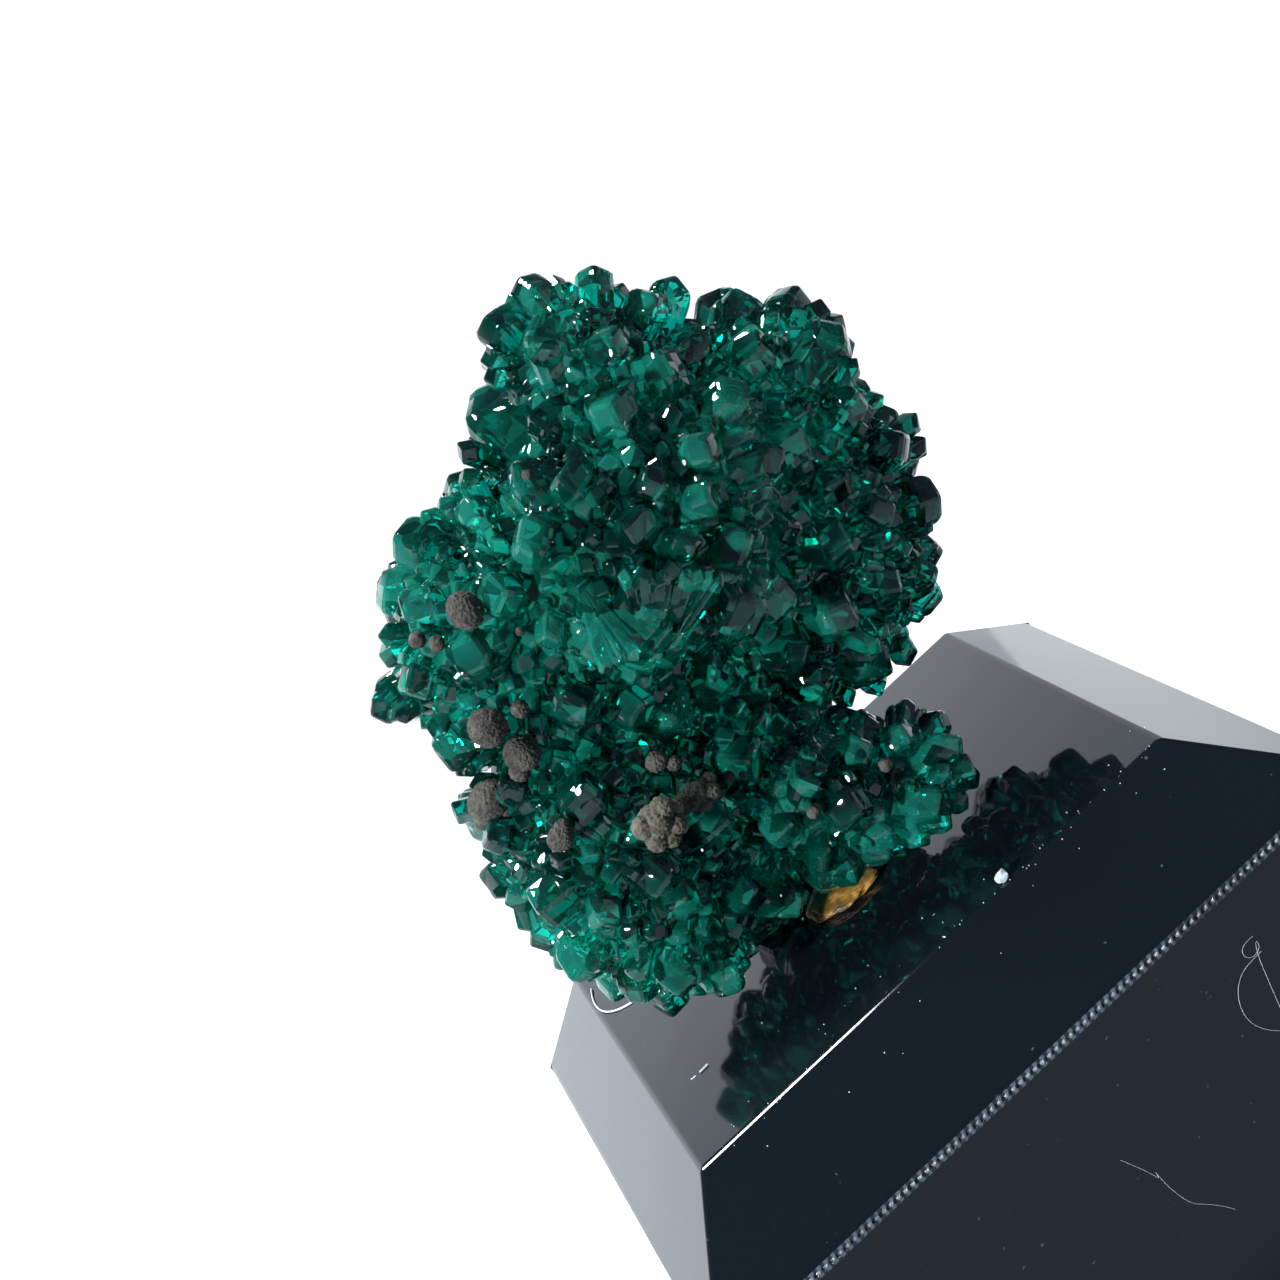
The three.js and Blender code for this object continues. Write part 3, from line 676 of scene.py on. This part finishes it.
# The grey mineral balls. Small spheres and knobbly lumps of a matt, finely granular
# mineral, dark warm grey to olive brown, grown onto the dioptase last. Radii of each ball,
# then middle and radius of its knobs.
ball_shapes = {
    "grey_ball_top": ((0.68, 0.66, 0.8), ()),
    "grey_ball_upper": ((0.78, 0.75, 0.8), ()),
    "grey_ball_middle": ((0.74, 0.7, 0.74), ((-0.55, 0.1, -0.5, 0.42),)),
    "grey_ball_small": ((0.36, 0.36, 0.36), ()),
    "grey_ball_rim": ((0.95, 0.85, 0.8),
                      ((0.75, 0, -0.25, 0.5), (-0.6, 0, -0.4, 0.5), (0.1, -0.1, -0.65, 0.45))),
    "grey_ball_lower": ((0.56, 0.52, 0.5), ((0.32, 0, 0.26, 0.34),)),
    "brown_knob_left": ((0.82, 0.7, 0.8),
                        ((0.5, -0.2, 0.35, 0.5), (-0.5, -0.2, 0.3, 0.48), (0, -0.35, 0.1, 0.52),
                         (0.5, -0.2, -0.45, 0.46), (-0.45, -0.2, -0.45, 0.46),
                         (0.05, -0.2, -0.75, 0.4), (0.85, 0, -0.05, 0.4))),
    "brown_knob_right": ((0.66, 0.55, 0.5),
                         ((0.5, -0.1, -0.2, 0.42), (-0.5, -0.1, 0.2, 0.42), (0.1, -0.25, 0.25, 0.4),
                          (0.05, -0.2, -0.3, 0.38), (0.8, 0.05, 0.15, 0.3))),
    "grey_ball_pair": ((0.46, 0.44, 0.42), ((0.42, -0.1, -0.5, 0.3),)),
}
mineral_grain = 5 / 26 * MM
mineral_cloud = 10 / 11 * MM


def granular_finish(name, dark, light):
    finish, matt = new_finish(name)
    where = node(finish, "ShaderNodeTexCoord").outputs["Object"]
    grain = node(finish, "ShaderNodeTexNoise", {"Vector": where, "Scale": 1 / mineral_grain, "Detail": 4})
    cloud = node(finish, "ShaderNodeTexNoise", {"Vector": where, "Scale": 1 / mineral_cloud, "Detail": 2})
    mixed = node(finish, "ShaderNodeMath", {0: grain.outputs["Fac"], 1: cloud.outputs["Fac"]},
                 operation="ADD")
    average = node(finish, "ShaderNodeMath", {0: mixed.outputs[0], 1: 0.5}, operation="MULTIPLY")
    tone = node(finish, "ShaderNodeValToRGB", {"Fac": average.outputs[0]},
                stops=((0.38, dark), (0.62, light)))
    pits = node(finish, "ShaderNodeBump",
                {"Height": grain.outputs["Fac"], "Strength": 0.8, "Distance": 0.04 * MM})
    fill(finish, matt, {"Base Color": tone.outputs["Color"], "Normal": pits.outputs["Normal"],
                        "Roughness": 0.85})
    return finish


grey_grain = granular_finish("grey_granular_mineral", "#101110", "#403F3A")
brown_grain = granular_finish("olive_brown_granular_mineral", "#1A1A14", "#535145")
for name, (radii, knobs) in ball_shapes.items():
    x, z, off = ball_seats[name]
    middle = front_of(x, z) + Vector((0, -off, 0))
    deselect()
    bpy.ops.mesh.primitive_ico_sphere_add(subdivisions=6, radius=1)
    ball = bpy.context.object
    ball.name = name + "_grown"
    ball.data.transform(Matrix.Translation(middle) @ Matrix.Diagonal((*radii, 1)))
    for kx, ky, kz, r in knobs:
        bpy.ops.mesh.primitive_ico_sphere_add(subdivisions=5, radius=r)
        knob = bpy.context.object
        knob.data.transform(Matrix.Translation(middle + Vector((kx, ky, kz))))
        only(ball)
        fuse = ball.modifiers.new("fuse", "BOOLEAN")
        fuse.operation = "UNION"
        fuse.solver = "MANIFOLD"
        fuse.object = knob
        bpy.ops.object.modifier_apply(modifier="fuse")
        bpy.data.objects.remove(knob)
    only(ball)
    ways = [v.normal.copy() for v in ball.data.vertices]
    for v, way in zip(ball.data.vertices, ways):
        rough = 0.02 * noise.noise(v.co * 3.0) - 0.075 * noise.voronoi(v.co * 7)[0][0]
        rough += 0.03 * noise.noise(v.co * 17) + 0.03
        v.co += way * rough
    ball.data.transform(onto_block @ Matrix.Scale(MM, 4))
    bpy.ops.object.shade_smooth()
    ball.data.materials.clear()
    ball.data.materials.append(brown_grain if "brown" in name else grey_grain)
    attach(ball, "root")
    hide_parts(name)


# Grains of the same grey mineral, too small to carry a shape of their own, sit in the
# crystals beside the balls: middle and radius.
grain_seats = [
    ((1.0, -4.8, 22.5), 0.22), ((3.85, -6.7, 4.7), 0.3), ((0.45, -7.4, 5.6), 0.3),
    ((-5.85, -4.6, 20.0), 0.34), ((-6.3, -4.1, 20.5), 0.36), ((-3.2, -5.6, 18.4), 0.2),
    ((-1.0, -6.2, 8.6), 0.24), ((-0.6, -6.3, 8.3), 0.16),
]
grains = []
for middle, r in grain_seats:
    deselect()
    bpy.ops.mesh.primitive_ico_sphere_add(subdivisions=5, radius=r)
    grains.append(bpy.context.object)
    for v in grains[-1].data.vertices:
        lumpy = 1 + 0.15 * noise.noise(v.co * 4 + Vector(middle)) - 0.12 * noise.voronoi(v.co * 8)[0][0]
        v.co = (v.co * lumpy + Vector(middle)) * MM + Vector((0, 0, top))
only(grains[0])
for grain in grains:
    grain.select_set(True)
bpy.ops.object.join()
grains = bpy.context.object
grains.name = "small_grey_grains"
bpy.ops.object.shade_smooth()
grains.data.materials.append(grey_grain)
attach(grains, "root")


# Dust and lint on the polished block: pale specks along its front edge and bevel, one crumb
# of clear quartz, a loop of fibre behind the specimen, two short hairs near the left edge and
# three wisps clinging to the wall. Radius of each thread, then its course.
fibres = [
    (0.045, [(-10.1, 4.5, 0.06), (-10.8, 4.8, 0.06), (-11.4, 5.4, 0.08), (-11.8, 6.5, 0.07),
             (-11.75, 8.2, 0.06), (-11.5, 9.1, 0.06)]),
    (0.05, [(-9.75, -5.6, 0.05), (-9.3, -5.55, 0.05)]),
    (0.03, [(-10.2, -5.5, 0.03), (-9.95, -5.55, 0.03)]),
    (0.008, [(9.0, -16.004, -6.4), (8.55, -16.006, -6.35), (8.2, -16.004, -6.6), (8.4, -16.006, -7.1),
             (9.0, -16.004, -7.0), (9.05, -16.006, -6.5), (8.7, -16.006, -7.0), (8.35, -16.004, -8.4),
             (8.05, -16.004, -9.5)]),
    (0.008, [(8.9, -16.004, -7.1), (8.1, -16.006, -7.1), (7.55, -16.004, -7.3), (7.05, -16.006, -7.9),
             (6.8, -16.004, -8.7), (7.0, -16.006, -9.5), (7.5, -16.004, -10.1), (7.9, -16.004, -10.4)]),
    (0.008, [(-0.15, -16.004, -9.4), (0.1, -16.006, -10.0), (0.35, -16.004, -10.6),
             (0.5, -16.006, -11.3), (0.53, -16.004, -10.5), (0.5, -16.006, -11.5),
             (0.6, -16.004, -12.1), (0.75, -16.006, -13.0), (1.35, -16.004, -13.4),
             (1.85, -16.004, -14.3)]),
]
litter = []
for r, path in fibres:
    thread = bpy.data.curves.new("lint", "CURVE")
    thread.dimensions = "3D"
    thread.bevel_depth = r * MM
    thread.bevel_resolution = 1
    thread.resolution_u = 5
    line = thread.splines.new("NURBS")
    line.points.add(len(path) - 1)
    for at, point in zip(path, line.points):
        point.co = (*(Vector(at) * MM + Vector((0, 0, top))), 1)
    line.order_u = min(4, len(path))
    line.use_endpoint_u = True
    litter.append(bpy.data.objects.new("lint", thread))
    bpy.context.collection.objects.link(litter[-1])
    only(litter[-1])
    bpy.ops.object.convert(target="MESH")
    litter[-1] = bpy.context.object
top_half = block_side / MM / 2 - block_bevel / MM
speck_count = 70
for k in range(speck_count):
    along = roll(-11, 12)
    beyond = roll(-3, 1.6) if k % 2 else roll(-0.25, 0.2)
    down_bevel = max(beyond, 0)
    deselect()
    bpy.ops.mesh.primitive_ico_sphere_add(subdivisions=1, radius=roll(0.012, 0.034) * MM)
    litter.append(bpy.context.object)
    at = Vector((along, -top_half - beyond, 0.01 - down_bevel))
    litter[-1].data.transform(Matrix.Translation(at * MM + Vector((0, 0, top))))
deselect()
bpy.ops.mesh.primitive_ico_sphere_add(subdivisions=2, radius=1)
litter.append(bpy.context.object)
for v in litter[-1].data.vertices:
    chip = 0.85 + 0.3 * noise.noise(v.co * 1.7)
    crumb = (0.36 * v.co.x * chip + 3.9, 0.26 * v.co.y * chip - 11.7, 0.27 * v.co.z * chip + 0.24)
    v.co = Vector(crumb) * MM
    v.co.z += top
only(litter[0])
for bit in litter:
    bit.select_set(True)
bpy.ops.object.join()
litter = bpy.context.object
litter.name = "dust_and_lint"
dust_mottle = 0.25 * MM
pale_dust, matt = new_finish("pale_dust")
where = node(pale_dust, "ShaderNodeTexCoord").outputs["Object"]
mottle = node(pale_dust, "ShaderNodeTexNoise", {"Vector": where, "Scale": 1 / dust_mottle, "Detail": 2})
shades = node(pale_dust, "ShaderNodeValToRGB", {"Fac": mottle.outputs["Fac"]},
              stops=((0, "#7F909C"), (1, "#C8D0D8")))
fill(pale_dust, matt, {"Base Color": shades.outputs["Color"], "Roughness": 0.5})
litter.data.materials.clear()
litter.data.materials.append(pale_dust)
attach(litter, "root")


# The stage: a white table in soft white surroundings that are darker overhead and towards the camera and
# brightest on the window side, left and behind. The table's emission is painted light: plain white to the
# camera, a painted glow behind the block standing in for window light on the table, and a painted glow for
# rays seen through the crystals.
deselect()
bpy.ops.mesh.primitive_plane_add(size=0.72, location=(0.24, -0.24, -0.0002))
bpy.ops.object.transform_apply(location=True, rotation=True, scale=True)
table = bpy.context.object
table.name = "white_table"
table_cloud = 25 * MM
table_finish, plain = new_finish("white_table")
where = node(table_finish, "ShaderNodeTexCoord").outputs["Object"]
tooth = node(table_finish, "ShaderNodeTexNoise", {"Vector": where, "Scale": 1 / table_cloud, "Detail": 2})
paper = node(table_finish, "ShaderNodeValToRGB", {"Fac": tooth.outputs["Fac"]},
             stops=((0, "#5C666E"), (1, "#626C74")))
ray = node(table_finish, "ShaderNodeLightPath")
depth = node(table_finish, "ShaderNodeSeparateXYZ", {"Vector": where})
# Painted glow on the table behind the block, standing in for window light falling there.
painted_back_glow = node(table_finish, "ShaderNodeMapRange",
           {"Value": depth.outputs["Y"], "From Min": -0.02, "From Max": 0.09,
            "To Min": 0.0, "To Max": 0.85}, interpolation_type="SMOOTHSTEP")
# Painted glow for rays that pass through the crystals.
painted_through_glow = node(table_finish, "ShaderNodeMath", {0: ray.outputs["Is Transmission Ray"], 1: 0.62},
               operation="MULTIPLY")
glow = node(table_finish, "ShaderNodeMath", {0: painted_back_glow.outputs["Result"], 1: painted_through_glow.outputs[0]},
            operation="MAXIMUM")
shine = node(table_finish, "ShaderNodeMath", {0: glow.outputs[0], 1: ray.outputs["Is Camera Ray"]},
             operation="MAXIMUM")
fill(table_finish, plain, {"Base Color": paper.outputs["Color"], "Roughness": 0.9,
                           "Emission Color": (1, 1, 1, 1), "Emission Strength": shine.outputs[0]})
table.data.materials.append(table_finish)

world = bpy.data.worlds.new("white_room")
bpy.context.scene.world = world
world.use_nodes = True
world.node_tree.nodes.clear()
facing = node(world, "ShaderNodeTexCoord").outputs["Generated"]
upward = node(world, "ShaderNodeSeparateXYZ", {"Vector": facing})
low_down = node(world, "ShaderNodeMapRange",
                {"Value": upward.outputs["Z"], "From Min": 0.32, "From Max": 0.62,
                 "To Min": 1.0, "To Max": 0.05}, interpolation_type="SMOOTHSTEP")
to_window = node(world, "ShaderNodeVectorMath", {0: facing, 1: (-0.45, 0.89, 0)},
                 operation="DOT_PRODUCT")
window_side = node(world, "ShaderNodeMapRange",
                   {"Value": to_window.outputs["Value"], "From Min": 0.3, "From Max": 1.0,
                    "To Min": 0.05, "To Max": 1.5}, interpolation_type="SMOOTHSTEP")
strength = node(world, "ShaderNodeMath",
                {0: low_down.outputs["Result"], 1: window_side.outputs["Result"]}, operation="MULTIPLY")
room = node(world, "ShaderNodeBackground", {"Color": linear("#F4F8FC"), "Strength": strength.outputs[0]})
ray = node(world, "ShaderNodeLightPath")
bluish = node(world, "ShaderNodeMath", {0: ray.outputs["Is Transmission Ray"], 1: 0.32, 2: 0.15},
              operation="MULTIPLY_ADD")
dim = node(world, "ShaderNodeBackground", {"Color": linear("#8FB0E0"), "Strength": bluish.outputs[0]})
both = node(world, "ShaderNodeAddShader", {0: room.outputs[0], 1: dim.outputs[0]})
behind = node(world, "ShaderNodeBackground", {"Color": (1, 1, 1, 1), "Strength": 1.05})
seen = node(world, "ShaderNodeMixShader",
            {"Fac": ray.outputs["Is Camera Ray"], 1: both.outputs[0], 2: behind.outputs[0]})
node(world, "ShaderNodeOutputWorld", {"Surface": seen.outputs[0]})

# Two round lamps, both turned to the middle of the specimen.
specimen_middle = Vector((0, 0, 0.034))
for name, place, size, power in (("window_above", (-0.08, 0.12, 0.58), 0.19, 6.5),
                                 ("soft_left", (-0.38, -0.26, 0.2), 0.05, 5.8)):
    lamp = bpy.data.lights.new(name, "AREA")
    lamp.shape = "DISK"
    lamp.size = size
    lamp.energy = power
    lamp.color = (1.0, 1.0, 1.0)
    holder = bpy.data.objects.new(name, lamp)
    bpy.context.scene.collection.objects.link(holder)
    holder.location = place
    holder.rotation_euler = (specimen_middle - Vector(place)).to_track_quat("-Z", "Y").to_euler()

# The camera, held close and rolled as the photograph was taken.
photo_camera = bpy.data.cameras.new("photo_camera")
photo_camera.lens = 69.07
photo_camera.sensor_width = 36
photo_camera.clip_start = 0.005
photo_camera.clip_end = 10
camera = bpy.data.objects.new("photo_camera", photo_camera)
bpy.context.scene.collection.objects.link(camera)
right = Vector((0.73453, -0.22501, -0.64019))
down = Vector((-0.6766, -0.17097, -0.71622))
forward = Vector((0.05171, 0.95924, -0.27782))
camera.matrix_world = (Matrix.Translation((-0.0049, -0.09606, 0.04113 + block_height))
                       @ Matrix((right, -down, -forward)).transposed().to_4x4())
bpy.context.scene.camera = camera
bpy.context.scene.view_settings.view_transform = "Standard"
